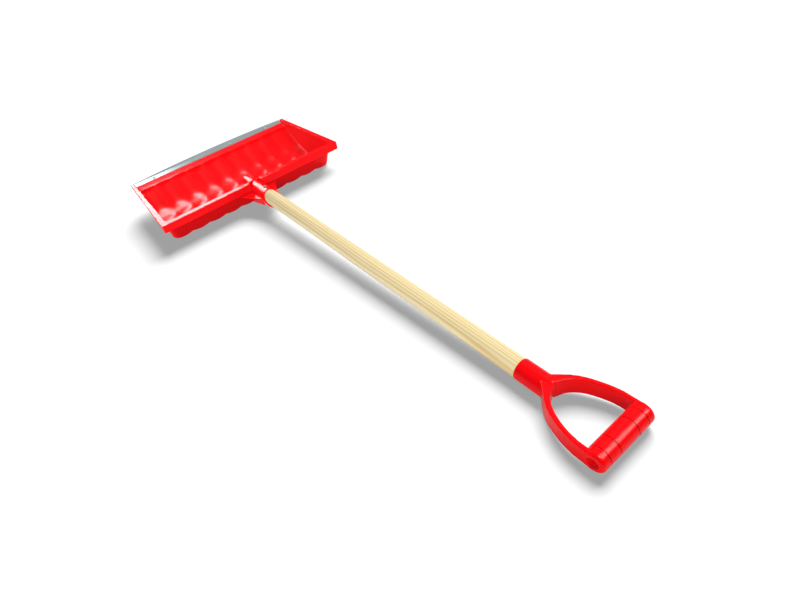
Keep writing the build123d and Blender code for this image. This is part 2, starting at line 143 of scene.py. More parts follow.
# %% [markdown]
# ## Light
# Three kinds of light share the work. An even sky and one large soft key lamp, high up beyond the
# scoop, light everything and give the shadow its direction. Fill lamps brighten the sides that face
# the viewer. Cards are there only to be mirrored, as the white boards round a studio table are:
# glossy plastic shows its shape by what it mirrors. The rim card draws the pale line round the rim,
# the card overhead the pale patches where the floor bends up, and the strip card the bright end of
# the metal edge. Mirror rays see a dark sky, which keeps the red deep between those highlights.

# %% Sky and key lamp
SKY, SKY_IN_MIRRORS = 0.38, 0.06
KEY_POWER, KEY_ANGLE = 4.4, radians(46)
KEY_FROM = Vector((0.60, 0.40, 0.69))

world = bpy.data.worlds.new("studio_sky")
bpy.context.scene.world = world
world.use_nodes = True
sky_nodes, sky_links = world.node_tree.nodes, world.node_tree.links
sky = sky_nodes["Background"]
sky.inputs["Color"].default_value = (1, 1, 1, 1)
ray = sky_nodes.new("ShaderNodeLightPath")
dim = sky_nodes.new("ShaderNodeMapRange")
dim.inputs["To Min"].default_value = SKY
dim.inputs["To Max"].default_value = SKY_IN_MIRRORS
seen = sky_nodes.new("ShaderNodeMath")
seen.operation = "MAXIMUM"
sky_links.new(ray.outputs["Is Glossy Ray"], dim.inputs["Value"])
sky_links.new(ray.outputs["Is Camera Ray"], seen.inputs[0])
sky_links.new(dim.outputs["Result"], seen.inputs[1])
sky_links.new(seen.outputs["Value"], sky.inputs["Strength"])

sun = bpy.data.lights.new("key", "SUN")
sun.energy = KEY_POWER
sun.angle = KEY_ANGLE
key = bpy.data.objects.new("key", sun)
bpy.context.scene.collection.objects.link(key)
key.rotation_euler = (-KEY_FROM).to_track_quat("-Z", "Y").to_euler()
key.visible_glossy = False
bpy.context.scene.view_settings.view_transform = "Standard"
print("sky", SKY, "and key", KEY_POWER)

# %% [markdown]
# Each lamp below has its place, the point it looks at, its width and depth, all in metres, and its
# power in watts. A card is hidden from diffuse rays, so it adds a highlight but no brightness. A
# fill is hidden from mirror rays, so it adds brightness but no highlight.


# %% Cards and fills
def area_light(name, place, target, size, power):
    """A soft rectangular lamp that looks at a target."""
    data = bpy.data.lights.new(name, "AREA")
    data.shape = "RECTANGLE"
    data.size, data.size_y = size
    data.energy = power
    lamp = bpy.data.objects.new(name, data)
    bpy.context.scene.collection.objects.link(lamp)
    lamp.location = place
    lamp.rotation_euler = (Vector(target) - Vector(place)).to_track_quat("-Z", "Y").to_euler()
    return lamp


CARDS = (("rim_card", (-0.25, 5.5, 2.95), (-0.1, 0.5, 0), (3.9, 0.9), 400),
         ("over_card", (0.08, 1.92, 3.7), (0.08, 1.9199, 0), (1.15, 0.95), 210),
         ("strip_card", (0.02, 2.42, 3.35), (0.02, 2.4199, 0), (0.95, 0.75), 16),
         ("top_card", (1.15, -1.8, 2.4), (0.05, -0.64, 0), (1.0, 2.3), 190),
         ("left_card", (-1.2, 1.1, 2.2), (0.2, 0.5, 0), (0.4, 0.4), 16))
FILLS = (("fill_card", (-2.6, -1.7, 2.2), (0, 0, 0), (2.4, 2.0), 100),
         ("hand_fill", (-1.7, -2.3, 1.0), (0, -0.3, 0), (1.4, 1.0), 18),
         ("wood_fill", (-1.7, -1.0, 0.8), (0, -0.1, 0), (1.4, 1.0), 30))
lamps = {row[0]: area_light(*row) for row in CARDS + FILLS}
for row in CARDS:
    lamps[row[0]].visible_diffuse = False
for row in FILLS:
    lamps[row[0]].visible_glossy = False
print("cards and fills:", list(lamps))

# %% [markdown]
# ## Helpers for materials
# Every finish here is built from noise in the object's own space, so it stays on the piece when
# the piece turns. These few helpers keep the node trees short.


# %% Node helpers
def finish(name, roughness, metallic=0.0, specular=0.5):
    """A new material with its shader, its nodes, its links and its coordinates."""
    material = bpy.data.materials.new(name)
    material.use_nodes = True
    tree = material.node_tree
    shader = tree.nodes["Principled BSDF"]
    shader.inputs["Roughness"].default_value = roughness
    shader.inputs["Metallic"].default_value = metallic
    shader.inputs["Specular IOR Level"].default_value = specular
    place = tree.nodes.new("ShaderNodeTexCoord").outputs["Object"]
    return material, tree, shader, place


def stretched(tree, place, scale, turn=(0, 0, 0)):
    """Coordinates stretched along an axis, for grain and brushing."""
    mapping = tree.nodes.new("ShaderNodeMapping")
    mapping.inputs["Scale"].default_value = scale
    mapping.inputs["Rotation"].default_value = turn
    tree.links.new(place, mapping.inputs["Vector"])
    return mapping.outputs["Vector"]


def speckle(tree, place, scale, detail, distortion=0.0):
    """Noise as one number at every point."""
    node = tree.nodes.new("ShaderNodeTexNoise")
    node.inputs["Scale"].default_value = scale
    node.inputs["Detail"].default_value = detail
    node.inputs["Distortion"].default_value = distortion
    tree.links.new(place, node.inputs["Vector"])
    return node.outputs["Fac"]


def ramp(tree, factor, stops):
    """Colours laid out along a number from 0 to 1."""
    node = tree.nodes.new("ShaderNodeValToRGB")
    elements = node.color_ramp.elements
    while len(elements) < len(stops):
        elements.new(0.5)
    for element, (position, colour) in zip(elements, stops):
        element.position = position
        element.color = (*colour, 1)
    tree.links.new(factor, node.inputs["Fac"])
    return node.outputs["Color"]


def between(tree, factor, low, high, start=0.0, end=1.0):
    """A number that runs from low to high as the factor goes from start to end."""
    node = tree.nodes.new("ShaderNodeMapRange")
    for name, value in (("From Min", start), ("From Max", end), ("To Min", low), ("To Max", high)):
        node.inputs[name].default_value = value
    tree.links.new(factor, node.inputs["Value"])
    return node.outputs["Result"]


def bumps(tree, shader, height, distance, strength):
    """Fine relief that bends the light without moving the surface."""
    node = tree.nodes.new("ShaderNodeBump")
    node.inputs["Distance"].default_value = distance
    node.inputs["Strength"].default_value = strength
    tree.links.new(height, node.inputs["Height"])
    tree.links.new(node.outputs["Normal"], shader.inputs["Normal"])


# %% [markdown]
# ## Finishes
# The scoop and the grip are injection moulded polypropylene: a deep even red, satin to glossy,
# with a faint orange-peel skin and fine scuffs where snow and hands rub. The shaft is turned
# softwood under a thin varnish: cream early wood with thin tan lines of late wood that run almost
# along the bar, because the bar is cut along the trunk. The wear edge is rolled metal, so its
# streaks run along it. The small fixings are zinc plated, with a slight bloom. The grooves of the
# grip get a painted shade: a darker red in them, because hardly any light reaches their bottom.


# %% Red plastic
DEEP_RED, BRIGHT_RED, SCUFFED_RED = (0.93, 0.0010, 0.0030), (1.0, 0.0015, 0.0045), (0.98, 0.012, 0.016)
# painted shade: a dark red put into the grip's grooves where little light reaches
GROOVE_PAINTED_SHADE = (0.28, 0.0006, 0.001)
PLASTIC_SPECULAR = 0.085


def red_plastic(name, scuff, deep=DEEP_RED, bright=BRIGHT_RED, scuffed=SCUFFED_RED):
    """Moulded red polypropylene; scuff says how much fine wear it shows."""
    material, tree, shader, place = finish(name, 0.22, specular=PLASTIC_SPECULAR)
    cloud = speckle(tree, place, 9.0, 3.0)
    colour = ramp(tree, cloud, [(0.3, deep), (0.7, bright)])
    scratches = speckle(tree, stretched(tree, place, (900, 22, 300), (0, 0, 0.12)), 1.0, 3.0)
    wear = between(tree, scratches, 0.0, scuff, 0.62, 0.80)
    mix = tree.nodes.new("ShaderNodeMix")
    mix.data_type = "RGBA"
    tree.links.new(wear, mix.inputs["Factor"])
    tree.links.new(colour, mix.inputs[6])
    mix.inputs[7].default_value = (*scuffed, 1)
    tree.links.new(mix.outputs[2], shader.inputs["Base Color"])
    peel = speckle(tree, place, 420.0, 2.0)
    rough = between(tree, cloud, 0.17, 0.26)
    tree.links.new(rough, shader.inputs["Roughness"])
    bumps(tree, shader, peel, 0.00006, 0.35)
    return material


scoop_red = red_plastic("scoop_red", 0.22)
grip_red = red_plastic("grip_red", 0.12)
groove_painted_shade = red_plastic("groove_painted_shade", 0.05, GROOVE_PAINTED_SHADE, GROOVE_PAINTED_SHADE, GROOVE_PAINTED_SHADE)
print("red plastic made for scoop, grip and grooves")


# %% Turned wood
def pale_wood():
    """Varnished softwood whose year lines run along the bar."""
    material, tree, shader, place = finish("pale_wood", 0.42)
    along = stretched(tree, place, (1.0, 0.028, 1.0), (TILT, 0, 0.012))
    wander = speckle(tree, along, 34.0, 2.0, 0.6)
    bands = tree.nodes.new("ShaderNodeTexWave")
    bands.wave_type = "BANDS"
    bands.bands_direction = "X"
    bands.inputs["Scale"].default_value = 62.0
    bands.inputs["Distortion"].default_value = 5.5
    bands.inputs["Detail"].default_value = 2.0
    bands.inputs["Detail Scale"].default_value = 1.3
    tree.links.new(stretched(tree, place, (1.0, 0.035, 0.45), (TILT, 0, 0.02)), bands.inputs["Vector"])
    lines = ramp(tree, bands.outputs["Fac"], [(0.0, (0.60, 0.45, 0.21)), (0.35, (0.67, 0.55, 0.31)),
                                              (0.75, (0.715, 0.63, 0.40))])
    tone = ramp(tree, wander, [(0.3, (0.90, 0.86, 0.78)), (0.7, (1.0, 0.99, 0.96))])
    mix = tree.nodes.new("ShaderNodeMix")
    mix.data_type = "RGBA"
    mix.blend_type = "MULTIPLY"
    mix.inputs["Factor"].default_value = 1.0
    tree.links.new(lines, mix.inputs[6])
    tree.links.new(tone, mix.inputs[7])
    tree.links.new(mix.outputs[2], shader.inputs["Base Color"])
    pores = speckle(tree, stretched(tree, place, (1500, 45, 1500), (TILT, 0, 0)), 1.0, 3.0)
    tree.links.new(between(tree, pores, 0.36, 0.52), shader.inputs["Roughness"])
    bumps(tree, shader, pores, 0.00012, 0.5)
    return material


shaft_wood = pale_wood()
print("wood made")


# %% Metals
def streaked_metal(name, dark, light, roughness, stretch, metallic):
    """Metal with fine streaks along its working direction and a slight bloom."""
    material, tree, shader, place = finish(name, roughness, metallic)
    streaks = speckle(tree, stretched(tree, place, stretch), 1.0, 5.0)
    tree.links.new(ramp(tree, streaks, [(0.3, dark), (0.7, light)]), shader.inputs["Base Color"])
    tree.links.new(between(tree, streaks, roughness - 0.08, roughness + 0.10), shader.inputs["Roughness"])
    bumps(tree, shader, streaks, 0.00005, 0.4)
    return material


edge_metal = streaked_metal("edge_metal", (0.50, 0.62, 0.64), (0.74, 0.84, 0.85), 0.18, (9, 1400, 1400), 0.6)
rivet_metal = streaked_metal("rivet_metal", (0.62, 0.64, 0.66), (0.82, 0.83, 0.84), 0.30, (700,) * 3, 0.5)
screw_zinc = streaked_metal("screw_zinc", (0.50, 0.50, 0.47), (0.72, 0.72, 0.69), 0.32, (500,) * 3, 0.6)
print("metals made")


# %% [markdown]
# ## The scoop's pan
# The scoop is one moulding with walls of even thickness, like every plastic tray. So it is
# modelled as one sheet, its upper side, that the Solidify modifier thickens downwards.
# The sheet's floor is a grid: straight rows across, whose height follows a side view (a level
# floor, a slope and a lip), and columns close enough to draw the round channels that stiffen it.
# Everything outside the floor is swept round it: a fillet, the wall, the flat rim and its skirt.

# %% Side view of the floor
BACK_FOOT, BACK_LEAN = 108.0, 0.37   # the back wall's foot, and how far it leans out as it rises
HALF, FLARE, TOE = 222.5, 0.118, 0.053   # half width in front; the side walls lean out and toe in
FLOOR_Z = 7.0                        # height of the level floor
SLOPE_FOOT = 214.0                   # where the floor starts to climb
LIP_LENGTH = 29.5
LIP_BACK = (FRONT_Y - LIP_LENGTH * cos(LIP_SLOPE), FRONT_Z - LIP_LENGTH * sin(LIP_SLOPE))
SLOPE = atan2(LIP_BACK[1] - FLOOR_Z, LIP_BACK[0] - SLOPE_FOOT)
PITCH, DEPTH, CHANNELS = 45.5, 4.3, 10
ROUND = (PITCH ** 2 / 4 + DEPTH ** 2) / (2 * DEPTH)
FOOT_BEND, LIP_BEND = 30.0, 6.0      # reach of the two bends in the side view
FOOT_FILLET, CORNER = 4.0, 12.0      # roundings of the pan: at the wall's foot, and in plan


def bend(corner, before, after, reach, steps=5):
    """Side-view points round a soft corner, each with the direction of the line there."""
    points = []
    for i in range(steps + 1):
        t = i / steps
        start = (corner[0] - reach * cos(before), corner[1] - reach * sin(before))
        end = (corner[0] + reach * cos(after), corner[1] + reach * sin(after))
        point = [(1 - t) ** 2 * p + 2 * t * (1 - t) * q + t ** 2 * r for p, q, r in zip(start, corner, end)]
        points.append((point[0], point[1], before + (after - before) * t))
    return points


def straight(start, end, steps):
    """Side-view points along a straight stretch, its ends left out."""
    angle = atan2(end[1] - start[1], end[0] - start[0])
    for i in range(1, steps):
        t = i / steps
        yield (start[0] + (end[0] - start[0]) * t, start[1] + (end[1] - start[1]) * t, angle)


foot_bend = bend((SLOPE_FOOT, FLOOR_Z), 0.0, SLOPE, FOOT_BEND, 9)
lip_bend = bend(LIP_BACK, SLOPE, LIP_SLOPE, LIP_BEND)
corner_rows = [(BACK_FOOT + FOOT_FILLET + d, FLOOR_Z, 0.0) for d in (0.0, 2.7, 5.4, CORNER - FOOT_FILLET)]
side_view = (corner_rows + list(straight(corner_rows[-1], foot_bend[0], 12)) + foot_bend
             + list(straight(foot_bend[-1], lip_bend[0], 14)) + lip_bend
             + list(straight(lip_bend[-1], (FRONT_Y, FRONT_Z), 4)) + [(FRONT_Y, FRONT_Z, LIP_SLOPE)])
print("floor:", len(side_view), "rows, slope of", round(SLOPE * 180 / pi, 1), "degrees")

# %% [markdown]
# A channel is a shallow round trough. Between two of them stands a ridge, which a real mould
# never leaves sharp, so the depth is softened where it comes near zero. At the lip the troughs
# run out, over about the width of a fingertip. Where the floor bends up they are nearly level with
# the ridges, so that the bend reads as one smooth curve.


# %% Height of the floor
RUN_OUT = 6.0
FOOT_CALM, CALM_Y, CALM_LENGTH = 0.95, 225.0, 15.0
RIDGE_SOFT = 0.35


def trough(x):
    """Depth of the channels at x, with rounded ridges between them."""
    if abs(x) > CHANNELS * PITCH / 2:
        return 0.0
    off = (x / PITCH - round(x / PITCH - 0.5) - 0.5) * PITCH
    depth = sqrt(ROUND ** 2 - off ** 2) - (ROUND - DEPTH)
    return sqrt(depth ** 2 + RIDGE_SOFT ** 2) - RIDGE_SOFT


def floor_point(x, y, z, angle):
    """A point of the floor's upper side, for a place of the side view."""
    left = (LIP_BACK[0] - y) / RUN_OUT
    share = 0.0 if left <= 0 else sin(pi / 2 * min(1.0, left))
    share *= 1 - FOOT_CALM * exp(-((y - CALM_Y) / CALM_LENGTH) ** 2)
    drop = trough(x) * share
    return (x, y + drop * sin(angle), z - drop * cos(angle))


def side_x(y, z):
    """Where a side wall's inner face is."""
    return HALF + FLARE * (z - FRONT_Z) - TOE * (y - FRONT_Y)


def back_y(z, out=0.0):
    """Where the back wall's inner face is."""
    return BACK_FOOT - BACK_LEAN * (z - FLOOR_Z) - out


print("channel depth in its middle:", round(trough(PITCH / 2), 2), "mm; on a ridge:", round(trough(0), 2))

# %% [markdown]
# The columns of the grid share out the width of each row. Towards the two back corners the grid
# is bent from a square into a quarter circle, so the corner of the pan is round and still all
# quads.

# %% Grid of the floor
CELLS = 13                              # columns in each channel
CORNER_STEPS = (0.0, 0.34, 0.67, 1.0)   # how far the rows and columns of a corner are into it
count = CHANNELS * CELLS
inner_half = side_x(BACK_FOOT, FLOOR_Z) - CORNER
fractions = [(i / count * 2 - 1) * CHANNELS * PITCH / 2 for i in range(count + 1)]
fractions = [x for x in fractions if abs(x) < inner_half - 1.0]


def quarter(u, v):
    """Bends a square's corner into a quarter circle; u and v run from 0 inside to 1 at the edges."""
    return u * sqrt(1 - v * v / 2), v * sqrt(1 - u * u / 2)


def columns():
    """The columns as (x where the floor is straight, side, share of the way into the corner)."""
    left = [(None, -1, share) for share in reversed(CORNER_STEPS)]
    middle = [(x, 0, 0.0) for x in fractions]
    return left + middle + [(None, 1, share) for share in CORNER_STEPS]


def plan(place, row_share, corner_x, corner_y, radius):
    """Plan position of a grid point near the back corners of an outline with rounded corners."""
    x, side, share = place
    if x is not None:
        return x * (corner_x - radius) / inner_half, corner_y + radius * (1 - row_share)
    u, v = quarter(share, row_share)
    return side * (corner_x - radius + radius * u), corner_y + radius * (1 - v)


places = columns()
print("grid of", len(places), "columns")

# %% [markdown]
# The outside of the sheet is a sweep. For every point on the floor's edge it lists the corners of
# one profile: end of the floor, foot of the wall, top of the wall, outer edge of the rim and lower
# edge of the skirt. Each corner between two straight runs is then rounded with a small curve.

# %% Rim and wall profile
RIM_RISE, RIM_FALL = 3.8, 11.3
FLANGE_BACK, FLANGE_FRONT = 13.2, 9.0
SKIRT_BACK, SKIRT_FRONT = 18.5, 9.0
RIM_FRONT_Z = FRONT_Z + RIM_RISE
RIM_BACK_Z = RIM_FRONT_Z - RIM_FALL
RIM_Y = back_y(RIM_BACK_Z) - FLANGE_BACK
RIM_SLOPE = RIM_FALL / (FRONT_Y - RIM_Y)
OUTER_BACK = side_x(RIM_Y, RIM_BACK_Z) + FLANGE_BACK
OUTER_FRONT = side_x(FRONT_Y, RIM_FRONT_Z) + FLANGE_FRONT
OUTER_CORNER = 4.0


def rim_z(y):
    """Height of the rim's top."""
    return RIM_BACK_Z + RIM_SLOPE * (y - RIM_Y)


def outer_x(y):
    """Half of the rim's outer width."""
    return OUTER_BACK + (OUTER_FRONT - OUTER_BACK) * (y - RIM_Y) / (FRONT_Y - RIM_Y)


def skirt(y):
    """Height of the skirt."""
    return SKIRT_BACK + (SKIRT_FRONT - SKIRT_BACK) * (y - RIM_Y) / (FRONT_Y - RIM_Y)


def eased(corners, reaches, steps):
    """A profile through its corners, each inner corner replaced by a short curve."""
    points = [corners[0]]
    for before, corner, after, reach in zip(corners, corners[1:], corners[2:], reaches):
        back, on = (before - corner), (after - corner)
        start = corner + back.normalized() * min(reach, back.length * 0.45)
        end = corner + on.normalized() * min(reach, on.length * 0.45)
        for i in range(steps + 1):
            t = i / steps
            points.append(start * (1 - t) ** 2 + corner * (2 * t * (1 - t)) + end * t ** 2)
    return points + [corners[-1]]


print("rim over all:", round(2 * OUTER_BACK, 1), "mm at the back,", round(2 * OUTER_FRONT, 1), "mm in front")

# %% Build the sheet
GAP_HALF = 17.4          # half of the gap that the socket has in the rim
EASE = (3.0, 1.2, 1.6)   # reach of the curves at the wall's foot, the wall's top and the rim's edge
EASE_STEPS = 4
WALL_POINTS = 2 * (EASE_STEPS + 1)
rows_in_corner = len(corner_rows)


def grid_point(j, place):
    """The floor's point in row j and a column."""
    y, z, angle = side_view[j]
    reach, radius = side_x(y, z) - FOOT_FILLET, CORNER - FOOT_FILLET
    x, side, share = place
    if j < rows_in_corner:
        x, y = plan(place, CORNER_STEPS[rows_in_corner - 1 - j], reach, BACK_FOOT + FOOT_FILLET, radius)
    elif x is None:
        x = side * (reach - radius + radius * share)
    else:
        x = x * (reach - radius) / inner_half
    return floor_point(x, y, z, angle)


def outline_point(j, place, corner_x, corner_y, radius):
    """The plan position, on an outline with rounded corners, outside one point of the floor's edge."""
    if j < rows_in_corner:
        row_share = CORNER_STEPS[rows_in_corner - 1 - j]
        return plan(place, row_share, corner_x(corner_y + radius), corner_y, radius)
    start = side_view[rows_in_corner - 1][0]
    y = corner_y + radius + (side_view[j][0] - start) / (FRONT_Y - start) * (FRONT_Y - corner_y - radius)
    return place[1] * corner_x(y), y


def edge_profile(j, place):
    """The sheet's profile outside one point of the floor's edge."""
    inside = Vector(grid_point(j, place))
    z = inside.z
    foot = outline_point(j, place, lambda y: side_x(y, z), back_y(z), CORNER)
    top = outline_point(j, place, lambda y: side_x(y, rim_z(y)), back_y(rim_z(RIM_Y + FLANGE_BACK)), CORNER)
    rim = outline_point(j, place, outer_x, RIM_Y, OUTER_CORNER)
    return [inside, Vector((*foot, z)), Vector((*top, rim_z(top[1]))), Vector((*rim, rim_z(rim[1]))),
            Vector((*rim, rim_z(rim[1]) - skirt(rim[1])))]


sheet = bmesh.new()
grid = [[sheet.verts.new(grid_point(j, place)) for place in places] for j in range(len(side_view))]
for lower, upper in zip(grid, grid[1:]):
    for i in range(len(places) - 1):
        sheet.faces.new((lower[i], lower[i + 1], upper[i + 1], upper[i]))
last = len(places) - 1
around = ([(j, 0) for j in range(len(side_view) - 1, 0, -1)] + [(0, i) for i in range(last + 1)]
          + [(j, last) for j in range(1, len(side_view))])
profiles = []
for j, i in around:
    points = eased(edge_profile(j, places[i]), EASE, EASE_STEPS)
    profiles.append([grid[j][i]] + [sheet.verts.new(p) for p in points[1:]])
for (j, i), a, b in zip(around, profiles, profiles[1:]):
    middle = (a[-1].co + b[-1].co) / 2
    in_gap = abs(middle.x) < GAP_HALF and middle.y < BACK_FOOT
    for k in range(WALL_POINTS - 1 if in_gap else len(a) - 1):
        sheet.faces.new((a[k], b[k], b[k + 1], a[k + 1]))
loose = [v for v in sheet.verts if not v.link_faces]
bmesh.ops.delete(sheet, geom=loose, context="VERTS")
for v in sheet.verts:
    v.co = at(*v.co)
bmesh.ops.recalc_face_normals(sheet, faces=sheet.faces)
floor_face = min(sheet.faces, key=lambda f: (f.calc_center_median() - at(0, 160, 5)).length)
if floor_face.normal.z < 0:
    bmesh.ops.reverse_faces(sheet, faces=sheet.faces)
print("sheet:", len(sheet.faces), "faces")


# %% Thicken it
def finished(name, source, *modifiers):
    """A new mesh object from a bmesh, with its modifiers applied."""
    mesh = bpy.data.meshes.new(name)
    source.to_mesh(mesh)
    source.free()
    draft = new_object(name + "_draft", mesh)
    for kind, settings in modifiers:
        modifier = draft.modifiers.new(kind, kind)
        for key_name, value in settings.items():
            setattr(modifier, key_name, value)
    bpy.context.view_layer.update()
    solved = draft.evaluated_get(bpy.context.evaluated_depsgraph_get())
    result = bpy.data.meshes.new_from_object(solved)
    result.name = name
    bpy.data.objects.remove(draft)
    return result


thick = ("SOLIDIFY", {"thickness": WALL / 1000, "offset": -1.0, "use_even_offset": True})
soft_edges = ("BEVEL", {"width": 0.0007, "segments": 2, "limit_method": "ANGLE", "angle_limit": radians(50),
                        "use_clamp_overlap": False})
pan_mesh = finished("pan", sheet, thick, soft_edges)
print("pan:", len(pan_mesh.polygons), "faces")

# %% [markdown]
# ## The scoop's socket, webs and wings
# The socket is a tapered tube about the shaft's own axis. Its mouth is cut on a slant, longer
# below than above, and its far end is a rounded nose inside the pan. Two upright webs and two
# flat wings stiffen it where it leaves the back wall, and a low keel carries the nose.

# %% Socket
TAPER = 0.0577
SOCKET_WALL, SOCKET_FIT = 3.4, 0.15
SOCKET_R = SHAFT_D / 2 + SOCKET_FIT + SOCKET_WALL
SOCKET_END, BORE_END = 140.0, 134.0
NOSE_ROUND, NOSE_STEPS = 6.0, 6
TONGUE, SLANT = 12.0, radians(32)
MOUTH_EDGE = ((0.0, 0.8), (0.25, 0.2), (0.8, 0.0))   # rounding of the mouth: in from the face, and back
END_FLAT = 1.0                                       # radius of the small flat that closes a turned end


def shaft_point(y, r, angle):
    """A point at a distance along the shaft's axis, a radius and an angle, in metres."""
    return SHAFT_FRAME @ (Vector((r * cos(angle), y, r * sin(angle))) / 1000)


def mouth_y(r, angle):
    """Where the slanted mouth cuts a radius at an angle."""
    return -TONGUE + (r * sin(angle) + SOCKET_R + TAPER * TONGUE) * tan(SLANT)


def tube(bm, rings):
    """Faces between rings of vertices, and one over each end."""
    loops = [[bm.verts.new(p) for p in ring] for ring in rings]
    for a, b in zip(loops, loops[1:]):
        for k in range(len(a)):
            n = (k + 1) % len(a)
            bm.faces.new((a[k], a[n], b[n], b[k]))
    bm.faces.new(loops[0][::-1])
    bm.faces.new(loops[-1])


SIDES = 72
angles = [2 * pi * k / SIDES for k in range(SIDES)]
socket = bmesh.new()
bore_r = SHAFT_D / 2 + SOCKET_FIT
rings = [[shaft_point(BORE_END, END_FLAT, a) for a in angles],
         [shaft_point(BORE_END, bore_r - TAPER * BORE_END, a) for a in angles],
         [shaft_point(30.0, bore_r - TAPER * 30, a) for a in angles]]
for inset, back in MOUTH_EDGE:
    rings.append([shaft_point(mouth_y(bore_r, a) + back, bore_r + inset, a) for a in angles])
for inset, back in reversed(MOUTH_EDGE):
    ring = []
    for a in angles:
        y = mouth_y(SOCKET_R, a) + back
        ring.append(shaft_point(y, SOCKET_R - TAPER * y - inset, a))
    rings.append(ring)
for share in (0.1, 0.25, 0.4, 0.55, 0.7, 0.85, 1.0):
    ring = []
    for a in angles:
        start = mouth_y(SOCKET_R, a) + MOUTH_EDGE[0][1]
        y = start + (SOCKET_END - NOSE_ROUND - start) * share
        ring.append(shaft_point(y, SOCKET_R - TAPER * y, a))
    rings.append(ring)
nose_r = SOCKET_R - TAPER * (SOCKET_END - NOSE_ROUND)
for i in range(1, NOSE_STEPS + 1):
    t = pi / 2 * i / NOSE_STEPS
    y, r = SOCKET_END - NOSE_ROUND * (1 - sin(t)), nose_r - NOSE_ROUND * (1 - cos(t))
    rings.append([shaft_point(y, r, a) for a in angles])
rings.append([shaft_point(SOCKET_END, END_FLAT, a) for a in angles])
tube(socket, rings)
bmesh.ops.recalc_face_normals(socket, faces=socket.faces)
socket_mesh = finished("socket", socket)
print("socket:", len(socket_mesh.polygons), "faces")


# %% Webs, wings and keel
def slab(bm, outline, offset):
    """A flat plate: its outline's points, and the same points moved by an offset."""
    near = [bm.verts.new(at(*p)) for p in outline]
    far = [bm.verts.new(at(*(Vector(p) + Vector(offset)))) for p in outline]
    bm.faces.new(near)
    bm.faces.new(far[::-1])
    for k in range(len(near)):
        n = (k + 1) % len(near)
        bm.faces.new((near[n], near[k], far[k], far[n]))


WEB_X = SOCKET_R - 2.0
WEB_Y, WING_Y, WING_HALF = 20.0, 12.0, 52.0
webs = bmesh.new()
foot_y, top_y = back_y(FLOOR_Z, WALL), back_y(AXIS_Z, WALL)
for side in (-1, 1):
    slab(webs, [(side * WEB_X, WEB_Y, AXIS_Z), (side * WEB_X, top_y + 2, AXIS_Z),
                (side * WEB_X, foot_y + 2, FLOOR_Z), (side * WEB_X, WEB_Y, AXIS_Z - WEB_X)],
         (-side * WALL, 0, 0))
    slab(webs, [(0, WING_Y, AXIS_Z), (side * WEB_X, WING_Y, AXIS_Z), (side * WING_HALF, top_y - 7, AXIS_Z),
                (side * WING_HALF, top_y + 2, AXIS_Z), (0, top_y + 2, AXIS_Z)], (0, 0, -WALL))
keel_y = back_y(AXIS_Z) - 1
slab(webs, [(-WALL, keel_y, FLOOR_Z - 2), (-WALL, BORE_END, FLOOR_Z - 2), (-WALL, BORE_END, AXIS_Z),
            (-WALL, keel_y, AXIS_Z)], (2 * WALL, 0, 0))
bmesh.ops.recalc_face_normals(webs, faces=webs.faces)
web_edges = ("BEVEL", {"width": 0.0008, "segments": 2, "limit_method": "ANGLE", "angle_limit": radians(40)})
web_mesh = finished("webs", webs, web_edges)
print("webs:", len(web_mesh.polygons), "faces")


# %% [markdown]
# The three meshes become one object. Its shading normals are weighted by the size of the faces, so
# that the wide faces stay flat beside the small roundings. Every piece is hidden from diffuse rays,
# which keeps its colour off the white paper.


# %% Join the moulding
SHARP_FROM = radians(38)


def joined(name, finishes, *meshes):
    """Several meshes as one object, with its finishes."""
    whole = bmesh.new()
    for mesh in meshes:
        whole.from_mesh(mesh)
    result = bpy.data.meshes.new(name)
    whole.to_mesh(result)
    whole.free()
    for material in finishes:
        result.materials.append(material)
    result.shade_smooth()
    result.set_sharp_from_angle(angle=SHARP_FROM)
    piece = new_object(name, result)
    even = piece.modifiers.new("even_normals", "WEIGHTED_NORMAL")
    even.keep_sharp = True
    piece.visible_diffuse = False
    return piece


scoop = joined("scoop_moulding", [scoop_red], pan_mesh, socket_mesh, web_mesh)
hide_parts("scoop")
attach(scoop, "root")
print("scoop:", len(scoop.data.polygons), "faces")

# %% [markdown]
# ## The wear edge
# The wear edge is a strip of metal whose back is folded open into two thin legs. They grip the
# plastic's lip, above and below it, and the solid front takes the knocks of the paving. Its front
# is slightly bowed. The strip is one profile swept across the shovel, and only the blade's reach
# changes on the way.

# %% Wear edge
LEG, LEG_THICK, FIT = 10.0, 1.2, 0.1
SOLID_WEB, BLADE = 2.5, 2.4
REACH_END, REACH_MID = 8.0, 15.0     # how far the blade stands out, at its ends and in its middle
KNEE_DROP, FALL = 0.35, 0.11         # the blade's top steps down to its knee, then falls forward
NOSE, NOSE_DROP = 1.6, 1.4           # the slanted nose that the paving has worn
EDGE_HALF = HALF - 1.0
top, low = LEG_THICK + FIT, -WALL - FIT - LEG_THICK
blade_top = -WALL / 2 + BLADE / 2
blade_low = blade_top - BLADE
bow_r = (EDGE_HALF ** 2 + (REACH_MID - REACH_END) ** 2) / (2 * (REACH_MID - REACH_END))


def reach(x):
    """How far the blade stands out in front of the lip at x."""
    return REACH_MID - bow_r + sqrt(bow_r ** 2 - x ** 2)


def edge_profile_at(x):
    """The strip's closed profile at x, in the plane of the lip: forward and up from the lip's edge."""
    tip = reach(x)
    knee = SOLID_WEB + 1.2 + (tip - SOLID_WEB) * 0.5
    blade_end = blade_top - KNEE_DROP - FALL * (tip - NOSE - knee)
    upper = [(-LEG, FIT), (-LEG, top), (SOLID_WEB - 1.0, top), (SOLID_WEB, blade_top + 0.6),
             (knee, blade_top - KNEE_DROP), (tip - NOSE, blade_end), (tip, blade_top - NOSE_DROP)]
    lower = [(tip, blade_low), (SOLID_WEB + 1.5, blade_low), (SOLID_WEB, blade_low - 0.5),
             (SOLID_WEB - 1.2, low), (-LEG, low)]
    return upper + lower + [(-LEG, -WALL - FIT), (FIT, -WALL - FIT), (FIT, FIT)]


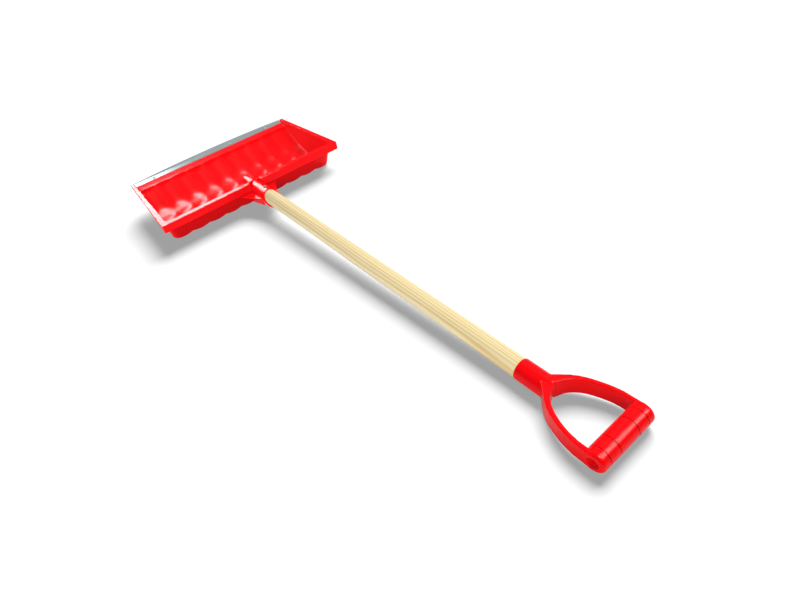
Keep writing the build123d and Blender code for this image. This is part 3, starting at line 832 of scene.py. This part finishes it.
def lip_point(x, forward, up):
    """A point in the frame of the lip's front edge, in metres."""
    return at(x, FRONT_Y + forward * cos(LIP_SLOPE) - up * sin(LIP_SLOPE),
              FRONT_Z + forward * sin(LIP_SLOPE) + up * cos(LIP_SLOPE))


edge = bmesh.new()
EDGE_STEPS = 60
edge_rings = []
for i in range(EDGE_STEPS + 1):
    x = -EDGE_HALF + 2 * EDGE_HALF * i / EDGE_STEPS
    edge_rings.append([lip_point(x, *corner) for corner in edge_profile_at(x)])
tube(edge, edge_rings)
bmesh.ops.recalc_face_normals(edge, faces=edge.faces)
edge_bevel = ("BEVEL", {"width": 0.0003, "segments": 2, "limit_method": "ANGLE", "angle_limit": radians(30)})
edge_strip = joined("wear_edge_strip", [edge_metal], finished("edge", edge, edge_bevel))
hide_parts("wear_edge")
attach(edge_strip, "root")
print("wear edge:", len(edge_strip.data.polygons), "faces, reach", REACH_END, "to", REACH_MID, "mm")

# %% [markdown]
# ## The shaft
# The shaft is a turned bar: rounded off at the end in the scoop's socket, plain along its length
# and turned down to a tenon inside the grip. A turned piece is one profile spun about its axis.
# A sanded bar is never a perfect cylinder, so its radius wavers by a few hundredths of a millimetre.

# %% Turned shaft
TENON_STEP, TENON = 2.0, 42.0
SHAFT_TIP = BORE_END - 2.0
WAVER, SANDED_OFF = 0.05, 0.03
BARE_STEPS = 48
shaft_r = SHAFT_D / 2
tip_r = shaft_r - TAPER * SHAFT_TIP
tenon_r = shaft_r - TENON_STEP
stations = [(SHAFT_TIP, END_FLAT), (SHAFT_TIP, tip_r - 2.0), (SHAFT_TIP - 0.6, tip_r - 0.6),
            (SHAFT_TIP - 2.0, tip_r)]
stations += [(y, shaft_r - TAPER * y) for y in (90.0, 45.0, 20.0)]
stations += [(-BARE * k / BARE_STEPS, shaft_r) for k in range(BARE_STEPS)]
stations += [(-BARE + 0.6, shaft_r), (-BARE, shaft_r - 0.6), (-BARE, tenon_r), (-BARE - TENON + 1, tenon_r),
             (-BARE - TENON, tenon_r - 1), (-BARE - TENON, END_FLAT)]
bar = bmesh.new()
bar_rings = []
for y, r in stations:
    ring = []
    for a in angles:
        waver = WAVER * noise.noise(Vector((cos(a), sin(a), y / 130)) * 1.4) if -BARE < y < 0 else 0.0
        ring.append(shaft_point(y, r + waver - SANDED_OFF, a))
    bar_rings.append(ring)
tube(bar, bar_rings)
bmesh.ops.recalc_face_normals(bar, faces=bar.faces)
shaft = joined("turned_shaft", [shaft_wood], finished("bar", bar))
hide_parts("shaft")
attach(shaft, "root")
print("shaft:", len(shaft.data.polygons), "faces")

# %% [markdown]
# ## The D grip
# The grip is one moulding: a short tube for the shaft, two arms that bow out from it, and a thick
# round bar between their ends. On the real grip all of these melt into each other with moulded
# fillets. Such a shape is easiest to make in the way that a potter would: put the rough solids
# together, remesh them as one skin of small even quads, and smooth that skin a little, which
# rounds every edge and fills every inner corner. The fine grooves are cut after that.

# %% Solids of the grip
GRIP_R = SHAFT_D / 2 + 1.2
ARM_HALF, ARM_THICK, ARM_TALL = 59.0, 8.0, 30.0
SHOULDER, CROTCH = 46.0, 62.0        # from the mouth to where the arms part, outside and inside
ARM_EASE = 50.0                      # length over which the tube flattens into the arms
GRIP_FRAME = SHAFT_FRAME @ Matrix.Translation((0, -BARE / 1000, 0))


def grip_point(x, y, z):
    """A point in millimetres from the middle of the grip's mouth, in metres of the scene."""
    return GRIP_FRAME @ (Vector((x, y, z)) / 1000)


def bow_curve(points, steps=10):
    """A smooth plan curve through points (a Catmull-Rom spline)."""
    ends = [(2 * points[0][0] - points[1][0], 2 * points[0][1] - points[1][1])] + points
    ends += [(2 * points[-1][0] - points[-2][0], 2 * points[-1][1] - points[-2][1])]
    curve = []
    for a, b, c, d in zip(ends, ends[1:], ends[2:], ends[3:]):
        for i in range(steps):
            t = i / steps
            curve.append(tuple(0.5 * (2 * q + (r - p) * t + (2 * p - 5 * q + 4 * r - s) * t ** 2
                                      + (3 * q - p - 3 * r + s) * t ** 3) for p, q, r, s in zip(a, b, c, d)))
    return curve + [points[-1]]


def bow_points(front, half_front, half, shape):
    """The plan points of one side of a bow, from the shaft's side out to the bar's axis."""
    length = BAR_BACK - front
    return ([(half_front, -front)] + [(half * across, -front - length * down) for across, down in shape]
            + [(half, -BAR_BACK)])


outer_bow = bow_curve(bow_points(SHOULDER, GRIP_R / 2, ARM_HALF, [(0.58, 0.21), (0.80, 0.40), (0.965, 0.68)]))
inner_bow = bow_curve(bow_points(CROTCH, 1.0, ARM_HALF - ARM_THICK,
                                 [(0.43, 0.10), (0.75, 0.31), (0.97, 0.63)]))
SECTION = ((0.0, -1.0), (0.0, 1.0), (0.18, 1.0), (0.82, 1.0), (1.0, 1.0), (1.0, -1.0), (0.82, -1.0),
           (0.18, -1.0))
arms = bmesh.new()
for side in (-1, 1):
    rings = []
    for (ox, oy), (ix, iy) in zip(outer_bow, inner_bow):
        near_socket = max(0.0, 1 - (-oy - SHOULDER) / ARM_EASE)
        half_tall = ARM_TALL / 2 + (GRIP_R - 0.8 - ARM_TALL / 2) * near_socket ** 2 * (3 - 2 * near_socket)
        rings.append([grip_point(side * (ix + (ox - ix) * s), iy + (oy - iy) * s, half_tall * t)
                      for s, t in SECTION])
    tube(arms, rings)


def spun(bm, axis_point, profile, sides=64):
    """A closed solid spun from (distance along the axis, radius) pairs."""
    turn = [2 * pi * k / sides for k in range(sides)]
    tube(bm, [[axis_point(d, r * cos(a), r * sin(a)) for a in turn] for d, r in profile])


BAR_R = BAR_D / 2
BAR_HALF = ARM_HALF - 0.4
BAR_ROUND = 5.0
bar_profile = [(-BAR_HALF, END_FLAT), (-BAR_HALF, BAR_R - BAR_ROUND)]
bar_profile += [(-BAR_HALF + BAR_ROUND * (1 - cos(t)), BAR_R - BAR_ROUND * (1 - sin(t)))
                for t in (pi / 8, pi / 4, 3 * pi / 8, pi / 2)]
bar_profile += [(-d, r) for d, r in reversed(bar_profile)]
spun(arms, lambda d, u, v: grip_point(d, -BAR_BACK + u, v), bar_profile)
spun(arms, lambda d, u, v: grip_point(u, -d, v),
     [(0, END_FLAT), (0, GRIP_R), (CROTCH - 4, GRIP_R), (CROTCH - 1, GRIP_R - 3), (CROTCH - 1, END_FLAT)])
bmesh.ops.recalc_face_normals(arms, faces=arms.faces)
print("grip's solids:", len(arms.faces), "faces")

# %% [markdown]
# A first remesh melts the solids into one. The hole for the shaft and the round recesses in the
# ends of the bar are cut out of that with the Boolean modifier. A second, finer remesh follows, so
# the edges of the cuts come out rounded too. Smoothing shrinks a thin shape a little, so the number
# of passes is only as high as the fillets need.


# %% One skin for the grip
def cutter(name, axis_point, profile):
    """A solid for a Boolean cut."""
    bm = bmesh.new()
    spun(bm, axis_point, profile, 48)
    bmesh.ops.recalc_face_normals(bm, faces=bm.faces)
    mesh = bpy.data.meshes.new(name)
    bm.to_mesh(mesh)
    bm.free()
    return new_object(name, mesh)


RECESS_R, RECESS_DEEP = 9.0, 14.0
BORE_R = SHAFT_D / 2 - TENON_STEP + 0.15
CLEAR = 4                            # how far a cutter stands out of the bar's end
ROUGH_VOXEL, SKIN_VOXEL = 0.0012, 0.0009
RELAX_PASSES = 6
tools = [cutter("bore", lambda d, u, v: grip_point(u, -d, v),
                [(-5, END_FLAT), (-5, BORE_R), (TENON + 1, BORE_R), (TENON + 1, END_FLAT)])]
for side in (-1, 1):
    tools.append(cutter("recess", lambda d, u, v: grip_point(side * (ARM_HALF + CLEAR - d), -BAR_BACK + u, v),
                        [(0, END_FLAT), (0, RECESS_R), (RECESS_DEEP + CLEAR, RECESS_R),
                         (RECESS_DEEP + CLEAR, END_FLAT)]))
rough = ("REMESH", {"mode": "VOXEL", "voxel_size": ROUGH_VOXEL, "adaptivity": 0.0})
cuts = [("BOOLEAN", {"operation": "DIFFERENCE", "object": tool, "solver": "EXACT"}) for tool in tools]
fine = ("REMESH", {"mode": "VOXEL", "voxel_size": SKIN_VOXEL, "adaptivity": 0.0})
relax = ("SMOOTH", {"factor": 0.5, "iterations": RELAX_PASSES})
grip_mesh = finished("grip_skin", arms, rough, *cuts, fine, relax)
for tool in tools:
    bpy.data.objects.remove(tool)
print("grip's skin:", len(grip_mesh.polygons), "faces")

# %% [markdown]
# Four fine grooves run round the bar, where the real grip has the joints of its mould inserts.
# Each is cut by splitting the skin along close planes and pulling the middle line inwards.

# %% Grooves
GROOVES = (20.5, 42.5)
GROOVE_HALF, GROOVE_DEEP = 0.6, 1.0
skin = bmesh.new()
skin.from_mesh(grip_mesh)
for x in [side * g for g in GROOVES for side in (-1, 1)]:
    for shift in (-GROOVE_HALF, -GROOVE_HALF / 3, GROOVE_HALF / 3, GROOVE_HALF):
        near = [e for e in skin.faces if abs(e.calc_center_median().x * 1000 - x) < 4
                and (GRIP_FRAME.inverted() @ e.calc_center_median()).y * 1000 < -BAR_BACK + BAR_R + 1]
        geometry = near + list({v for f in near for v in f.verts}) + list({e for f in near for e in f.edges})
        bmesh.ops.bisect_plane(skin, geom=geometry, dist=0.00002, plane_co=((x + shift) / 1000, 0, 0),
                               plane_no=(1, 0, 0))
    for v in skin.verts:
        if abs(v.co.x * 1000 - x) < GROOVE_HALF * 0.6:
            local = GRIP_FRAME.inverted() @ v.co
            off = Vector((0, local.y + BAR_BACK / 1000, local.z))
            if BAR_R - 1.5 < off.length * 1000 < BAR_R + 1.0:
                v.co = GRIP_FRAME @ (local - off.normalized() * GROOVE_DEEP / 1000)
skin.to_mesh(grip_mesh)
skin.free()
grip = joined("d_grip", [grip_red, groove_painted_shade], grip_mesh)
# the faces in the grooves get the painted shade material
in_groove = 0
for face in grip.data.polygons:
    local = GRIP_FRAME.inverted() @ face.center
    off = sqrt((local.y * 1000 + BAR_BACK) ** 2 + (local.z * 1000) ** 2)
    if off < BAR_R + 1.0 and any(abs(abs(local.x * 1000) - g) < GROOVE_HALF for g in GROOVES):
        face.material_index = 1
        in_groove += 1
print("faces in the grooves:", in_groove)
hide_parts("grip")
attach(grip, "root")
print("grip:", len(grip.data.polygons), "faces")

# %% [markdown]
# ## Small fixings
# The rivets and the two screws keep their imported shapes, which are already right. They only get
# their metal, through the material slots of their objects.

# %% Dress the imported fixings
def dress(node, material):
    """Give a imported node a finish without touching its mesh."""
    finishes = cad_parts[node].data.materials
    finishes.clear()
    finishes.append(material)


for node, material in (("scoop", scoop_red), ("wear_edge", edge_metal), ("edge_rivets", rivet_metal),
                       ("shaft", shaft_wood), ("scoop_screw", screw_zinc), ("grip", grip_red),
                       ("grip_screw", screw_zinc)):
    dress(node, material)
print("nodes dressed:", sorted(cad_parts))

# %% [markdown]
# ## Keeping each lamp on its own pieces
# In a studio black flags and honeycomb grids stop a lamp from spilling on the next piece. Light
# linking does the same here: a lamp that is given a group of receivers lights only that group.
# The cards for the red plastic would burn out the bare metal of the edge, which mirrors far more
# light, so the metal has a weak card of its own. The fills leave the paper alone too, which keeps
# the shadow under the scoop dark.


# %% Link the lamps to their pieces
def light_only(lamp, pieces):
    """Let a lamp light these pieces and nothing else."""
    group = bpy.data.collections.new(lamp.name + "_pieces")
    for piece in pieces:
        group.objects.link(piece)
    lamp.light_linking.receiver_collection = group


LIT = {"rim_card": (scoop, grip), "over_card": (scoop,), "left_card": (scoop,), "top_card": (grip,),
       "strip_card": (edge_strip,), "fill_card": (scoop,), "hand_fill": (grip,), "wood_fill": (shaft,)}
for name, pieces in LIT.items():
    light_only(lamps[name], pieces)
print("lamps with their own pieces:", {name: [p.name for p in pieces] for name, pieces in LIT.items()})
